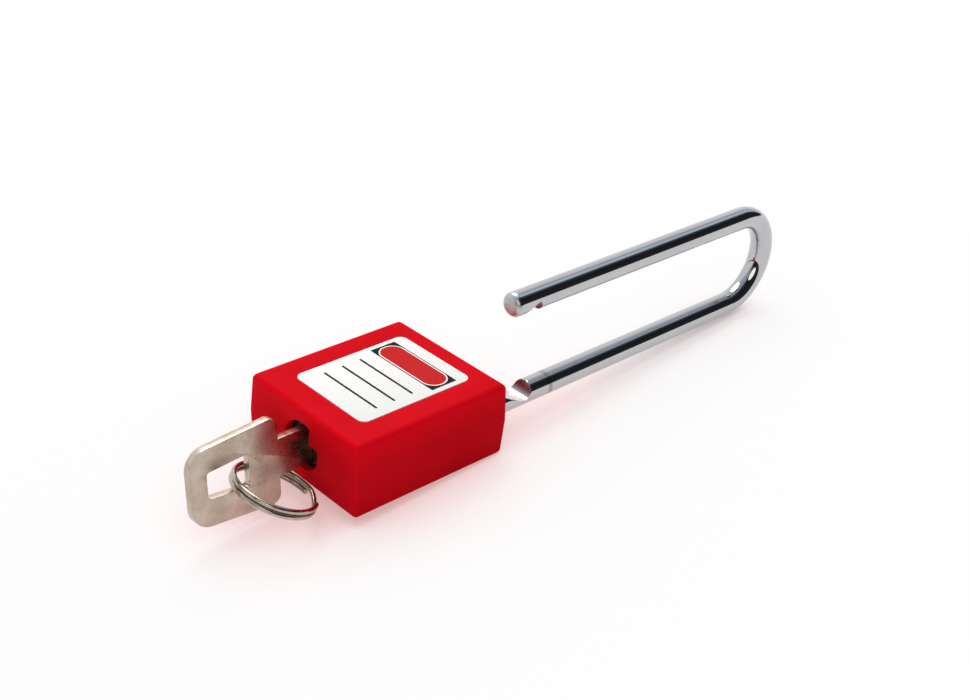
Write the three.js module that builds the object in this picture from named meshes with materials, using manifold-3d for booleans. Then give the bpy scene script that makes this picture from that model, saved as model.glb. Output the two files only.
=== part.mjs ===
// Keyed padlock with a long shackle, in the state it lies in when it has just been opened:
// the shackle is lifted and swung a quarter turn, the key is in the lock, a few degrees short of its stop,
// and carries a split ring.
// Millimetres. The origin is the middle of the body's back face, +X runs across the body towards
// the heel leg, +Y runs up towards the shackle and +Z points out of the labelled front face.
import * as THREE from "three";
import { mergeVertices } from "three/addons/utils/BufferGeometryUtils.js";
import Module from "manifold-3d";

const wasm = await Module();
wasm.setup();

// Moulded outer shell
const BODY_WIDTH = 39;
const BODY_HEIGHT = 44.8;
const BODY_THICKNESS = 19;
const BODY_DRAFT = 0.4;
const EDGE_ROUND = 1.3;
const CORNER_RADIUS = 0.8;
const SIDE_WALL = 2;
const FACE_WALL = 2.3;
const END_WALL = 2.2;
const SHELL_FIT = 0.3;
const CAP_THICKNESS = 3.2;
const CAP_LEG_FIT = 0.35;
const CASE_CORNER = 1.6;

// Opening for the key: a round hole with two opposite quarters left filled as stops
const APERTURE_RADIUS = 6;
const STOP_SIDE = 2.7;
const STOP_TOP = 1.5;

// Label panel set into the front face
const LABEL_WIDTH = 24.8;
const LABEL_HEIGHT = 32.1;
const LABEL_CENTRE = 0.9;
const LABEL_CORNER = 2;
const LABEL_RECESS = 0.25;
const LABEL_PROUD = 0.1;
const LABEL_GAP = 0.3;

// Shackle
const SHACKLE_DIAMETER = 6;
const LEG_MARGIN = 13.5;
const LEG_SPACING = BODY_WIDTH - LEG_MARGIN;
const INNER_HEIGHT = 78.5;
const LIFT = 21;
const SWIVEL_AT_REST = 90;
const BEND_STEPS = 18;
const ROD_SIDES = 24;
const TOE_DEPTH = 16.7;
const TOE_ROUND = 1.6;
const BALL_DEPTH = 11.1;
const NOTCH_DEPTH = 1.6;
const NOTCH_ABOVE = 2.7;
const NOTCH_BELOW = 1.4;
const TOE_RAMP = 2.7;
const HEEL_NOTCH_BELOW = 4.6;
const HEEL_RAMP = 2.8;
const GROOVE_HALF = 2.8;
const GROOVE_RADIUS = 1.6;
const HEAD_LENGTH = 1.3;
const SPIGOT_RADIUS = 1.6;
const BORE_FIT = 0.25;
const TOE_BORE_BELOW_TIP = 2.2;

// Collar, clip and kick spring at the foot of the heel leg
const COLLAR_RADIUS = 3.6;
const COLLAR_LENGTH = 2.8;
const COLLAR_FIT = 0.25;
const END_FIT = 0.3;
const CLIP_THICKNESS = 0.6;
const CLIP_RADIUS = 2.6;
const CLIP_BITE = 0.5;
const CLIP_GAP = 1.8;
const CLIP_FIT = 0.12;
const SPIGOT_TAIL = 0.7;
const KICK_WIRE = 0.6;
const KICK_MEAN = 3.3;
const KICK_LENGTH = 7;
const KICK_TURNS = 4;

// Locking balls and the oval cam between them
const BALL_RADIUS = (2 * LEG_SPACING) / 17;
const BALL_FIT = 0.2;
const BALL_TRAVEL = 1.6;
const BALL_LEG_GAP = 0.4;
const CAM_GAP = 0.3;
const CAM_ROUND_RADIUS = 4.8;
const CAM_ROUND_BELOW_BALL = 2.4;
const CAM_PAST_BALL = 3.2;
const CAM_CHAMBER_FIT = 0.6;

// Lock cylinder, plug and pins
const CYLINDER_RADIUS = 6;
const CYLINDER_LENGTH = 18;
const CYLINDER_FIT = 0.2;
const PLUG_RADIUS = 4.8;
const PLUG_FIT = 0.15;
const FLANGE_RADIUS = 5.35;
const FLANGE_LENGTH = 1;
const FLANGE_FIT = 0.12;
const PIN_COUNT = 5;
const PIN_PITCH = 3.1;
const PIN_FIRST = 2.8;
const PIN_RADIUS = 1.2;
const PIN_FIT = 0.15;
const PIN_TOP_INSET = 0.25;
const DRIVER_LENGTH = 3.2;
const PIN_SPRING_LENGTH = 3;
const PIN_SPRING_WIRE = 0.3;
const PIN_SPRING_TURNS = 3;
const CHAMBER_WALL = 0.9;
const CHAMBER_MARGIN = 0.8;
const COVER_THICKNESS = 0.8;
const TAIL_RADIUS = 3.9;
const TAIL_LENGTH = 1.7;
const PLUG_CLIP_THICKNESS = 0.7;
const PLUG_CLIP_RADIUS = 5.2;
const PLUG_CLIP_BITE = 0.6;
const PLUG_CLIP_GAP = 4.4;
const TONGUE_THICKNESS = 3.8;
const TONGUE_WIDTH = 6.8;
const TONGUE_LENGTH = 3.6;
const TONGUE_FIT = 0.25;
const CAM_START_GAP = 0.4;
const RETAINER_RADIUS = 0.85;
const RETAINER_FIT = 0.15;
const RETAINER_BITE = 0.6;
const RETAINER_FROM_FRONT = 14;

// Key and split ring
const KEY_THICKNESS = 2;
const KEY_TURN_AT_REST = 6;
const KEYWAY_FIT = 0.15;
const NECK_WIDTH = 9.2;
const NECK_LENGTH = 8.9;
const KEY_HEAD_WIDTH = 21.5;
const KEY_HEAD_LENGTH = 22.6;
const KEY_HEAD_TAPER = 1.7;
const KEY_HEAD_DROP = 0.4;
const KEY_HEAD_CORNER = 5;
const KEY_HEAD_INNER_CORNER = 2.3;
const KEY_HOLE_WIDTH = 8;
const KEY_HOLE_LENGTH = 10.6;
const KEY_HOLE_SETBACK = 7.8;
const KEY_HOLE_CORNER = 0.8;
const BLADE_LENGTH = 17.4;
const BLADE_TOP = 3.3;
const BLADE_BOTTOM = -3.4;
const KEY_TO_PLUG = 0.2;
const FIRST_CUT = 2.3;
const CUT_DROP = 0.55;
const CUT_HALF = 0.8;
const PIN_ON_KEY_GAP = 0.12;
const WARD_LEVEL = -1.7;
const WARD_WIDTH = 1.1;
const WARD_DEPTH = 0.5;
const RING_OUTER = 20.4;
const RING_WIRE = 1.2;
const RING_PITCH = 1.35;
const RING_TURNS = 2;
const RING_STEPS = 36;
const RING_END_GAP = 4;
const RING_JOG = 36;
const RING_CHORD_SHARE = 0.88;
const RING_CHORD_RISE = 23.5;
const RING_GAP_AHEAD = 4;
const RING_GAP_LEVEL = -7.4;
const RING_DROOP = 12;
const RING_SPLIT = 70;

// Derived levels
const midZ = BODY_THICKNESS / 2;
const faceY = BODY_HEIGHT / 2;
const keyFaceY = -BODY_HEIGHT / 2;
const heelX = LEG_SPACING / 2;
const legRadius = SHACKLE_DIAMETER / 2;
const cavityX = BODY_WIDTH / 2 - SIDE_WALL;
const cavityBottomZ = FACE_WALL;
const cavityTopZ = BODY_THICKNESS - FACE_WALL;
const cavityY = keyFaceY + END_WALL;
const caseX = cavityX - SHELL_FIT;
const caseHalfZ = midZ - FACE_WALL - SHELL_FIT;
const caseBottomY = cavityY + SHELL_FIT;
const caseTopY = faceY - CAP_THICKNESS - SHELL_FIT;
const ballY = faceY - BALL_DEPTH;
const ballRestX = heelX - legRadius - BALL_LEG_GAP - BALL_RADIUS;
const camNarrow = ballRestX - BALL_RADIUS - CAM_GAP;
const camWide = ballRestX + BALL_TRAVEL - BALL_RADIUS - CAM_GAP;
const bendY = faceY + INNER_HEIGHT - (heelX - legRadius);
const toeTipY = faceY - TOE_DEPTH;
const grooveY = ballY - LIFT;
const headY = grooveY - GROOVE_HALF - HEAD_LENGTH;
const collarTopY = headY - END_FIT;
const collarFootY = collarTopY - COLLAR_LENGTH;
const clipTopY = collarFootY - END_FIT;
const spigotEndY = clipTopY - CLIP_THICKNESS - SPIGOT_TAIL;
const caseShoulderY = collarTopY + LIFT + END_FIT;
const plugFaceY = caseBottomY;
const cylinderRearY = plugFaceY + CYLINDER_LENGTH;
const plugTailY = cylinderRearY + TAIL_LENGTH;
const tongueEndY = plugTailY + TONGUE_LENGTH;
const camStartY = plugTailY + CAM_START_GAP;
const camEndY = ballY + CAM_PAST_BALL;
const camChamber = Math.max(CAM_ROUND_RADIUS, camWide) + CAM_CHAMBER_FIT;
const pinTop = PLUG_RADIUS - PIN_TOP_INSET;
const shellBore = PLUG_RADIUS + PLUG_FIT;
const chamberRadius = PIN_RADIUS + PIN_FIT;
const driverEndX = shellBore + DRIVER_LENGTH;
const blockHalfZ = chamberRadius + CHAMBER_WALL;
const blockX = driverEndX + PIN_SPRING_LENGTH + 2 * PIN_FIT;
const pinLevels = Array.from({ length: PIN_COUNT }, (_, i) => plugFaceY + PIN_FIRST + i * PIN_PITCH);
const blockStartY = pinLevels[0] - chamberRadius - CHAMBER_MARGIN;
const blockEndY = pinLevels[PIN_COUNT - 1] + chamberRadius + CHAMBER_MARGIN;
const cutLevel = (i) => FIRST_CUT - i * CUT_DROP;
const neckStartY = plugFaceY - KEY_TO_PLUG;
const headStartY = neckStartY - NECK_LENGTH;
const headEndY = headStartY - KEY_HEAD_LENGTH;

// Materials
const paint = (color, roughness, metalness) => new THREE.MeshStandardMaterial({ color, roughness, metalness });
const redNylon = paint(0xd4121f, 0.35, 0);
const zinc = paint(0x8d8f92, 0.55, 0.8);
const brass = paint(0xc9a34a, 0.35, 1);
const steel = paint(0xb9bbbd, 0.3, 1);
const springSteel = paint(0x9a9c9f, 0.4, 1);
const chrome = paint(0xe6e8ea, 0.08, 1);
const nickel = paint(0xcfcac0, 0.22, 1);
const labelWhite = paint(0xf4f3f1, 0.5, 0);

// A closed geometry as a solid that can be cut and joined
function solid(geometry) {
  const bare = new THREE.BufferGeometry();
  bare.setAttribute("position", geometry.getAttribute("position"));
  if (geometry.index) bare.setIndex(geometry.index);
  const merged = mergeVertices(bare, 1e-4);
  const corners = merged.index.array;
  const triangles = [];
  for (let i = 0; i < corners.length; i += 3) {
    const [a, b, c] = [corners[i], corners[i + 1], corners[i + 2]];
    if (a !== b && b !== c && c !== a) triangles.push(a, b, c);
  }
  const vertProperties = new Float32Array(merged.getAttribute("position").array);
  const build = (list) => new wasm.Manifold(new wasm.Mesh({ numProp: 3, vertProperties, triVerts: new Uint32Array(list) }));
  const made = build(triangles);
  if (made.volume() > 0) return made;
  for (let i = 0; i < triangles.length; i += 3) {
    [triangles[i + 1], triangles[i + 2]] = [triangles[i + 2], triangles[i + 1]];
  }
  return build(triangles);
}

const cut = (from, ...tools) => tools.reduce((left, tool) => left.subtract(tool), from);
const join = (first, ...rest) => rest.reduce((left, piece) => left.add(piece), first);

// A solid as a named mesh
function mesh(name, body, material) {
  const source = body.getMesh();
  const geometry = new THREE.BufferGeometry();
  geometry.setAttribute("position", new THREE.BufferAttribute(new Float32Array(source.vertProperties), 3));
  geometry.setIndex(new THREE.BufferAttribute(new Uint32Array(source.triVerts), 1));
  geometry.computeVertexNormals();
  const made = new THREE.Mesh(geometry, material);
  made.name = name;
  return made;
}

// A profile of [radius, level] pairs turned about an axis along Y
function turned(profile, sides = 32) {
  const points = profile.map(([radius, level]) => new THREE.Vector2(radius, level));
  return new THREE.LatheGeometry(points, sides);
}

function rodY(radius, low, high, sides = 32) {
  return new THREE.CylinderGeometry(radius, radius, high - low, sides).translate(0, (low + high) / 2, 0);
}

function rodX(radius, low, high, sides = 32) {
  return new THREE.CylinderGeometry(radius, radius, high - low, sides).rotateZ(Math.PI / 2).translate((low + high) / 2, 0, 0);
}

function rodZ(radius, low, high, sides = 32) {
  return new THREE.CylinderGeometry(radius, radius, high - low, sides).rotateX(Math.PI / 2).translate(0, 0, (low + high) / 2);
}

function block(x0, x1, y0, y1, z0, z1) {
  return new THREE.BoxGeometry(x1 - x0, y1 - y0, z1 - z0).translate((x0 + x1) / 2, (y0 + y1) / 2, (z0 + z1) / 2);
}

function roundedRectangle(x0, x1, y0, y1, corner, Kind = THREE.Shape) {
  const shape = new Kind();
  shape.absarc(x1 - corner, y0 + corner, corner, -Math.PI / 2, 0, false);
  shape.absarc(x1 - corner, y1 - corner, corner, 0, Math.PI / 2, false);
  shape.absarc(x0 + corner, y1 - corner, corner, Math.PI / 2, Math.PI, false);
  shape.absarc(x0 + corner, y0 + corner, corner, Math.PI, 1.5 * Math.PI, false);
  return shape;
}

const plainExtrude = (shape, depth, curveSegments) =>
  new THREE.ExtrudeGeometry(shape, { depth, bevelEnabled: false, curveSegments, steps: 1 });

// A shape drawn in X and Z, extruded along Y
function extrudedY(shape, low, high, curveSegments = 6) {
  return plainExtrude(shape, high - low, curveSegments).rotateX(Math.PI / 2).translate(0, high, 0);
}

// A shape drawn in Y and Z, extruded along X
function extrudedX(shape, low, high, curveSegments = 6) {
  const turn = new THREE.Matrix4().makeBasis(new THREE.Vector3(0, 1, 0), new THREE.Vector3(0, 0, 1), new THREE.Vector3(1, 0, 0));
  return plainExtrude(shape, high - low, curveSegments).applyMatrix4(turn).translate(low, 0, 0);
}

function extrudedZ(shape, low, high, curveSegments = 6) {
  return plainExtrude(shape, high - low, curveSegments).translate(0, 0, low);
}

// Rings of equally many points skinned into one closed surface, with its two ends fanned shut
function lofted(rings) {
  const count = rings[0].length;
  const positions = [];
  const index = [];
  for (const ring of rings) for (const p of ring) positions.push(p.x, p.y, p.z);
  for (let k = 0; k + 1 < rings.length; k++) {
    for (let i = 0; i < count; i++) {
      const j = (i + 1) % count;
      const [a, b, c, d] = [k * count + i, k * count + j, (k + 1) * count + i, (k + 1) * count + j];
      index.push(a, b, d, a, d, c);
    }
  }
  for (const [k, flip] of [[0, true], [rings.length - 1, false]]) {
    const middle = new THREE.Vector3();
    for (const p of rings[k]) middle.addScaledVector(p, 1 / count);
    const hub = positions.length / 3;
    positions.push(middle.x, middle.y, middle.z);
    for (let i = 0; i < count; i++) {
      const [a, b] = [k * count + i, k * count + ((i + 1) % count)];
      index.push(...(flip ? [hub, b, a] : [hub, a, b]));
    }
  }
  const geometry = new THREE.BufferGeometry();
  geometry.setAttribute("position", new THREE.Float32BufferAttribute(positions, 3));
  geometry.setIndex(index);
  return geometry;
}

// A rounded rectangle's outline at one level of a loft
function outline(halfX, halfY, corner, z, steps = 5) {
  const points = [];
  for (const [sx, sy, start] of [[1, 1, 0], [-1, 1, 0.5], [-1, -1, 1], [1, -1, 1.5]]) {
    for (let i = 0; i <= steps; i++) {
      const angle = Math.PI * (start + (0.5 * i) / steps);
      const x = sx * (halfX - corner) + corner * Math.cos(angle);
      const y = sy * (halfY - corner) + corner * Math.sin(angle);
      points.push(new THREE.Vector3(x, y, z));
    }
  }
  return points;
}

// A round wire of constant section along a path of points, each with its tangent
function wire(path, radius, sides) {
  const rings = path.map(({ at, along }, k) => {
    const side = new THREE.Vector3().crossVectors(along, path[k].up).normalize();
    const over = new THREE.Vector3().crossVectors(side, along).normalize();
    return Array.from({ length: sides }, (_, i) => {
      const angle = (2 * Math.PI * (i + 0.5)) / sides;
      return at.clone().addScaledVector(side, radius * Math.cos(angle)).addScaledVector(over, radius * Math.sin(angle));
    });
  });
  return lofted(rings);
}

// A helical spring about Y, from one level to another
function spring(meanRadius, wireDiameter, low, high, turns, stepsPerTurn, sides) {
  const steps = Math.round(turns * stepsPerTurn);
  const rise = high - low - wireDiameter;
  const slope = rise / (2 * Math.PI * turns);
  const path = Array.from({ length: steps + 1 }, (_, i) => {
    const angle = (2 * Math.PI * turns * i) / steps;
    const at = new THREE.Vector3(meanRadius * Math.cos(angle), low + wireDiameter / 2 + (rise * i) / steps, meanRadius * Math.sin(angle));
    const along = new THREE.Vector3(-meanRadius * Math.sin(angle), slope, meanRadius * Math.cos(angle)).normalize();
    return { at, along, up: new THREE.Vector3(0, 1, 0) };
  });
  return wire(path, wireDiameter / 2, sides);
}

// Outer form of the moulded body, drafted from its middle to both faces
function bodyForm() {
  const roundSteps = 4;
  const insetAt = (z) => (BODY_DRAFT * Math.abs(z - midZ)) / midZ;
  const levels = [];
  for (let i = 0; i <= roundSteps; i++) {
    const angle = (0.5 * Math.PI * (roundSteps - i)) / roundSteps;
    const z = EDGE_ROUND * (1 - Math.sin(angle));
    levels.push([z, insetAt(z) + EDGE_ROUND * (1 - Math.cos(angle))]);
  }
  const mirrored = levels.map(([z, inset]) => [BODY_THICKNESS - z, inset]).reverse();
  const rings = [...levels, [midZ, 0], ...mirrored].map(([z, inset]) =>
    outline(BODY_WIDTH / 2 - inset, BODY_HEIGHT / 2 - inset, CORNER_RADIUS, z),
  );
  return solid(lofted(rings));
}

function apertureShape(radius, side, top) {
  const high = Math.sqrt(radius * radius - side * side);
  const wide = Math.sqrt(radius * radius - top * top);
  const topAngle = Math.atan2(high, side);
  const sideAngle = Math.atan2(top, wide);
  const shape = new THREE.Shape();
  shape.moveTo(side, top);
  shape.lineTo(side, high);
  shape.absarc(0, 0, radius, topAngle, Math.PI + sideAngle, false);
  shape.lineTo(-side, -top);
  shape.lineTo(-side, -high);
  shape.absarc(0, 0, radius, Math.PI + topAngle, 2 * Math.PI + sideAngle, false);
  shape.lineTo(side, top);
  return shape;
}

const lock = new THREE.Group();

// Shell, cap and label
const form = bodyForm();
const past = 2;
const aperture = extrudedY(apertureShape(APERTURE_RADIUS, STOP_SIDE, STOP_TOP), keyFaceY - past, cavityY + past / 4, 24);
const labelShape = (grow) =>
  roundedRectangle(
    -LABEL_WIDTH / 2 - grow,
    LABEL_WIDTH / 2 + grow,
    LABEL_CENTRE - LABEL_HEIGHT / 2 - grow,
    LABEL_CENTRE + LABEL_HEIGHT / 2 + grow,
    LABEL_CORNER + grow,
  );
const recessZ = BODY_THICKNESS - LABEL_RECESS;
const cavityShape = roundedRectangle(-cavityX, cavityX, cavityBottomZ, cavityTopZ, CASE_CORNER + SHELL_FIT);
const shell = cut(
  form,
  solid(extrudedY(cavityShape, cavityY, faceY + past)),
  solid(aperture.translate(0, 0, midZ)),
  solid(extrudedZ(labelShape(LABEL_GAP), recessZ, BODY_THICKNESS + past)),
);
lock.add(mesh("outer_shell", shell, redNylon));
lock.add(mesh("label", solid(extrudedZ(labelShape(0), recessZ, BODY_THICKNESS + LABEL_PROUD)), labelWhite));

const caseShape = roundedRectangle(-caseX, caseX, midZ - caseHalfZ, midZ + caseHalfZ, CASE_CORNER);
const legAt = (geometry, sign) => geometry.translate(sign * heelX, 0, midZ);
const capLeg = (sign) => solid(legAt(rodY(legRadius + CAP_LEG_FIT, caseTopY - past, faceY + past), sign));
const cap = cut(solid(extrudedY(caseShape, faceY - CAP_THICKNESS, faceY + past)).intersect(form), capLeg(-1), capLeg(1));
lock.add(mesh("top_cap", cap, redNylon));

// Die-cast case with the leg bores, the cross bore for the balls, the cam chamber and the cylinder seat
const toeBoreFloorY = toeTipY - TOE_BORE_BELOW_TIP;
const onAxis = (geometry) => solid(geometry.translate(0, 0, midZ));
const retainerX = CYLINDER_RADIUS - RETAINER_BITE + RETAINER_RADIUS;
const retainerY = plugFaceY + RETAINER_FROM_FRONT;
const retainerBore = () => solid(rodZ(RETAINER_RADIUS + RETAINER_FIT, -past, BODY_THICKNESS + past, 16).translate(retainerX, retainerY, 0));
const slotX = blockX + COVER_THICKNESS + CYLINDER_FIT;
const caseBlock = cut(
  solid(extrudedY(caseShape, caseBottomY, caseTopY)),
  solid(legAt(rodY(legRadius + BORE_FIT, caseShoulderY - past / 2, caseTopY + past), 1)),
  solid(legAt(rodY(COLLAR_RADIUS + COLLAR_FIT, caseBottomY - past, caseShoulderY), 1)),
  solid(legAt(rodY(legRadius + BORE_FIT, toeBoreFloorY, caseTopY + past), -1)),
  onAxis(rodX(BALL_RADIUS + BALL_FIT, -heelX, heelX).translate(0, ballY, 0)),
  onAxis(rodY(camChamber, cylinderRearY - past, camEndY + CAM_GAP, 40)),
  onAxis(rodY(CYLINDER_RADIUS + CYLINDER_FIT, caseBottomY - past, cylinderRearY + CYLINDER_FIT, 40)),
  onAxis(block(-slotX, 0, caseBottomY - past, blockEndY + CYLINDER_FIT, -blockHalfZ - CYLINDER_FIT, blockHalfZ + CYLINDER_FIT)),
  retainerBore(),
);
lock.add(mesh("lock_case", caseBlock, zinc));

// Brass cylinder with its row of pin chambers towards the toe leg
const chamberBore = (level) => onAxis(rodX(chamberRadius, -blockX - past, -shellBore + past / 2, 20).translate(0, level, 0));
const cylinderShell = cut(
  join(
    onAxis(rodY(CYLINDER_RADIUS, plugFaceY, cylinderRearY, 40)),
    onAxis(block(-blockX, -shellBore, blockStartY, blockEndY, -blockHalfZ, blockHalfZ)),
  ),
  onAxis(rodY(shellBore, plugFaceY - past, cylinderRearY + past, 40)),
  onAxis(rodY(FLANGE_RADIUS + FLANGE_FIT, plugFaceY - past, plugFaceY + FLANGE_LENGTH + FLANGE_FIT, 40)),
  ...pinLevels.map(chamberBore),
  retainerBore(),
);
lock.add(mesh("cylinder_shell", cylinderShell, brass));
lock.add(mesh("chamber_cover", onAxis(block(-blockX - COVER_THICKNESS, -blockX, blockStartY, blockEndY, -blockHalfZ, blockHalfZ)), steel));

const retainer = mesh("cylinder_pin", solid(rodZ(RETAINER_RADIUS, midZ - caseHalfZ + SHELL_FIT, midZ + caseHalfZ - SHELL_FIT, 16)), steel);
retainer.position.set(retainerX, retainerY, 0);
lock.add(retainer);

// Pin stacks: a driver and its spring in each chamber of the cylinder
pinLevels.forEach((level, i) => {
  const stack = new THREE.Group();
  stack.position.set(-shellBore, level, midZ);
  stack.rotation.z = Math.PI / 2;
  const rim = 0.25;
  const driver = turned([[0, 0], [PIN_RADIUS - rim, 0], [PIN_RADIUS, rim], [PIN_RADIUS, DRIVER_LENGTH], [0, DRIVER_LENGTH]], 16);
  const springStart = DRIVER_LENGTH + PIN_FIT;
  const coil = spring(PIN_RADIUS - PIN_SPRING_WIRE / 2, PIN_SPRING_WIRE, springStart, springStart + PIN_SPRING_LENGTH, PIN_SPRING_TURNS, 10, 5);
  stack.add(mesh(`driver_pin_${i + 1}`, solid(driver), brass));
  stack.add(mesh(`driver_spring_${i + 1}`, solid(coil), springSteel));
  lock.add(stack);
});

// Plug, its pins and clip, and the cam that it turns
const turning = new THREE.Group();
turning.position.z = midZ;
turning.rotation.y = THREE.MathUtils.degToRad(-KEY_TURN_AT_REST);
lock.add(turning);

const keywayHalf = KEY_THICKNESS / 2 + KEYWAY_FIT;
const wardReach = WARD_DEPTH - KEYWAY_FIT;
const wardHalf = WARD_WIDTH / 2 - KEYWAY_FIT;
const keyway = cut(
  solid(block(-keywayHalf, keywayHalf, plugFaceY - past, cylinderRearY - END_FIT, BLADE_BOTTOM - KEYWAY_FIT, BLADE_TOP + KEYWAY_FIT)),
  solid(block(-keywayHalf - past, -keywayHalf + wardReach, plugFaceY - 2 * past, cylinderRearY, WARD_LEVEL - wardHalf, WARD_LEVEL + wardHalf)),
  solid(block(keywayHalf - wardReach, keywayHalf + past, plugFaceY - 2 * past, cylinderRearY, WARD_LEVEL - wardHalf, WARD_LEVEL + wardHalf)),
);
const clipGrooveY = cylinderRearY + CLIP_FIT;
const plugForm = turned(
  [
    [0, plugFaceY],
    [FLANGE_RADIUS, plugFaceY],
    [FLANGE_RADIUS, plugFaceY + FLANGE_LENGTH],
    [PLUG_RADIUS, plugFaceY + FLANGE_LENGTH],
    [PLUG_RADIUS, cylinderRearY],
    [TAIL_RADIUS - PLUG_CLIP_BITE, cylinderRearY],
    [TAIL_RADIUS - PLUG_CLIP_BITE, clipGrooveY + PLUG_CLIP_THICKNESS + CLIP_FIT],
    [TAIL_RADIUS, clipGrooveY + PLUG_CLIP_THICKNESS + CLIP_FIT],
    [TAIL_RADIUS, plugTailY],
    [0, plugTailY],
  ],
  40,
);
const pinBore = (level) => solid(rodZ(chamberRadius, 0, PLUG_RADIUS + past, 20).translate(0, level, 0));
const plug = cut(
  join(
    solid(plugForm),
    solid(block(-TONGUE_THICKNESS / 2, TONGUE_THICKNESS / 2, plugTailY - END_FIT, tongueEndY, -TONGUE_WIDTH / 2, TONGUE_WIDTH / 2)),
  ),
  keyway,
  ...pinLevels.map(pinBore),
);
turning.add(mesh("plug", plug, brass));

// A flat spring clip: a ring with a gap in one side
function clip(inner, outer, low, high, gap) {
  const ring = turned([[inner, low], [outer, low], [outer, high], [inner, high], [inner, low]], 32);
  return cut(solid(ring), solid(block(0, outer + past, low - past, high + past, -gap / 2, gap / 2)));
}
const plugClipInner = TAIL_RADIUS - PLUG_CLIP_BITE + CLIP_FIT;
turning.add(mesh("plug_clip", clip(plugClipInner, PLUG_CLIP_RADIUS, clipGrooveY, clipGrooveY + PLUG_CLIP_THICKNESS, PLUG_CLIP_GAP), springSteel));

const camOval = new THREE.Shape();
camOval.absellipse(0, 0, camNarrow, camWide, 0, 2 * Math.PI, false, 0);
const camRoundEndY = ballY - BALL_RADIUS - CAM_ROUND_BELOW_BALL;
const cam = cut(
  join(
    solid(rodY(CAM_ROUND_RADIUS, camStartY, camRoundEndY, 32)),
    solid(extrudedY(camOval, camRoundEndY - END_FIT, camEndY, 32)),
  ),
  solid(
    block(
      -TONGUE_THICKNESS / 2 - TONGUE_FIT,
      TONGUE_THICKNESS / 2 + TONGUE_FIT,
      camStartY - past,
      tongueEndY + TONGUE_FIT,
      -TONGUE_WIDTH / 2 - TONGUE_FIT,
      TONGUE_WIDTH / 2 + TONGUE_FIT,
    ),
  ),
);
turning.add(mesh("cam", cam, steel));

pinLevels.forEach((level, i) => {
  const foot = cutLevel(i);
  const length = pinTop - foot;
  const taper = 0.6;
  const shape = turned([[0, 0], [PIN_RADIUS - taper, 0], [PIN_RADIUS, taper], [PIN_RADIUS, length], [0, length]], 16);
  const pin = mesh(`key_pin_${i + 1}`, solid(shape), brass);
  pin.position.set(0, level, foot);
  pin.rotation.x = Math.PI / 2;
  turning.add(pin);
});

// Locking balls
for (const [name, sign] of [["locking_ball_toe", -1], ["locking_ball_heel", 1]]) {
  const ball = mesh(name, solid(new THREE.SphereGeometry(BALL_RADIUS, 24, 16)), steel);
  ball.position.set(sign * ballRestX, ballY, midZ);
  lock.add(ball);
}

// Shackle: drawn closed, with the toe leg beside the heel leg, then lifted and swung by its groups
const heel = new THREE.Group();
heel.position.set(heelX, LIFT, midZ);
lock.add(heel);
const swung = new THREE.Group();
swung.rotation.y = THREE.MathUtils.degToRad(SWIVEL_AT_REST);
heel.add(swung);

function shackleForm() {
  const clipLow = clipTopY - CLIP_THICKNESS - CLIP_FIT;
  const clipHigh = clipTopY + CLIP_FIT;
  const chamfer = 0.35;
  const heelProfile = [
    [spigotEndY, SPIGOT_RADIUS],
    [clipLow, SPIGOT_RADIUS],
    [clipLow, SPIGOT_RADIUS - CLIP_BITE],
    [clipHigh, SPIGOT_RADIUS - CLIP_BITE],
    [clipHigh, SPIGOT_RADIUS],
    [headY, SPIGOT_RADIUS],
    [headY, legRadius - chamfer],
    [headY + chamfer, legRadius],
    [grooveY - GROOVE_HALF, legRadius],
    [grooveY - GROOVE_HALF + chamfer, GROOVE_RADIUS],
    [grooveY + GROOVE_HALF - chamfer, GROOVE_RADIUS],
    [grooveY + GROOVE_HALF + chamfer, legRadius],
  ];
  const ring = (x, y, tangentAngle, radius) =>
    Array.from({ length: ROD_SIDES }, (_, i) => {
      const angle = (2 * Math.PI * i) / ROD_SIDES;
      const out = radius * Math.cos(angle);
      return new THREE.Vector3(x + out * Math.cos(tangentAngle), y + out * Math.sin(tangentAngle), radius * Math.sin(angle));
    });
  const rings = heelProfile.map(([y, radius]) => ring(0, y, 0, radius));
  for (let i = 0; i <= BEND_STEPS; i++) {
    const angle = (Math.PI * i) / BEND_STEPS;
    rings.push(ring(heelX * (Math.cos(angle) - 1), bendY + heelX * Math.sin(angle), angle, legRadius));
  }
  const tipSteps = 4;
  for (let i = 0; i <= tipSteps; i++) {
    const angle = (0.5 * Math.PI * i) / tipSteps;
    rings.push(ring(-LEG_SPACING, toeTipY + TOE_ROUND - TOE_ROUND * Math.sin(angle), Math.PI, legRadius - TOE_ROUND * (1 - Math.cos(angle))));
  }
  return solid(lofted(rings));
}

// A notch for a ball: a square shoulder above, a flat floor, and a ramp below back to full diameter
function notch(side, below, ramp, x) {
  const floor = legRadius - NOTCH_DEPTH;
  const mouth = legRadius + past;
  const run = (ramp * (mouth - floor)) / NOTCH_DEPTH;
  const shape = new THREE.Shape();
  shape.moveTo(side * floor, ballY + NOTCH_ABOVE);
  shape.lineTo(side * mouth, ballY + NOTCH_ABOVE);
  shape.lineTo(side * mouth, ballY - below - run);
  shape.lineTo(side * floor, ballY - below);
  shape.closePath();
  return solid(extrudedZ(shape, -legRadius - past, legRadius + past).translate(x, 0, 0));
}
const shackle = cut(shackleForm(), notch(-1, HEEL_NOTCH_BELOW, HEEL_RAMP, 0), notch(1, NOTCH_BELOW, TOE_RAMP, -LEG_SPACING));
swung.add(mesh("shackle", shackle, chrome));
swung.add(mesh("heel_clip", clip(SPIGOT_RADIUS - CLIP_BITE + CLIP_FIT, CLIP_RADIUS, clipTopY - CLIP_THICKNESS, clipTopY, CLIP_GAP), springSteel));

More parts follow.
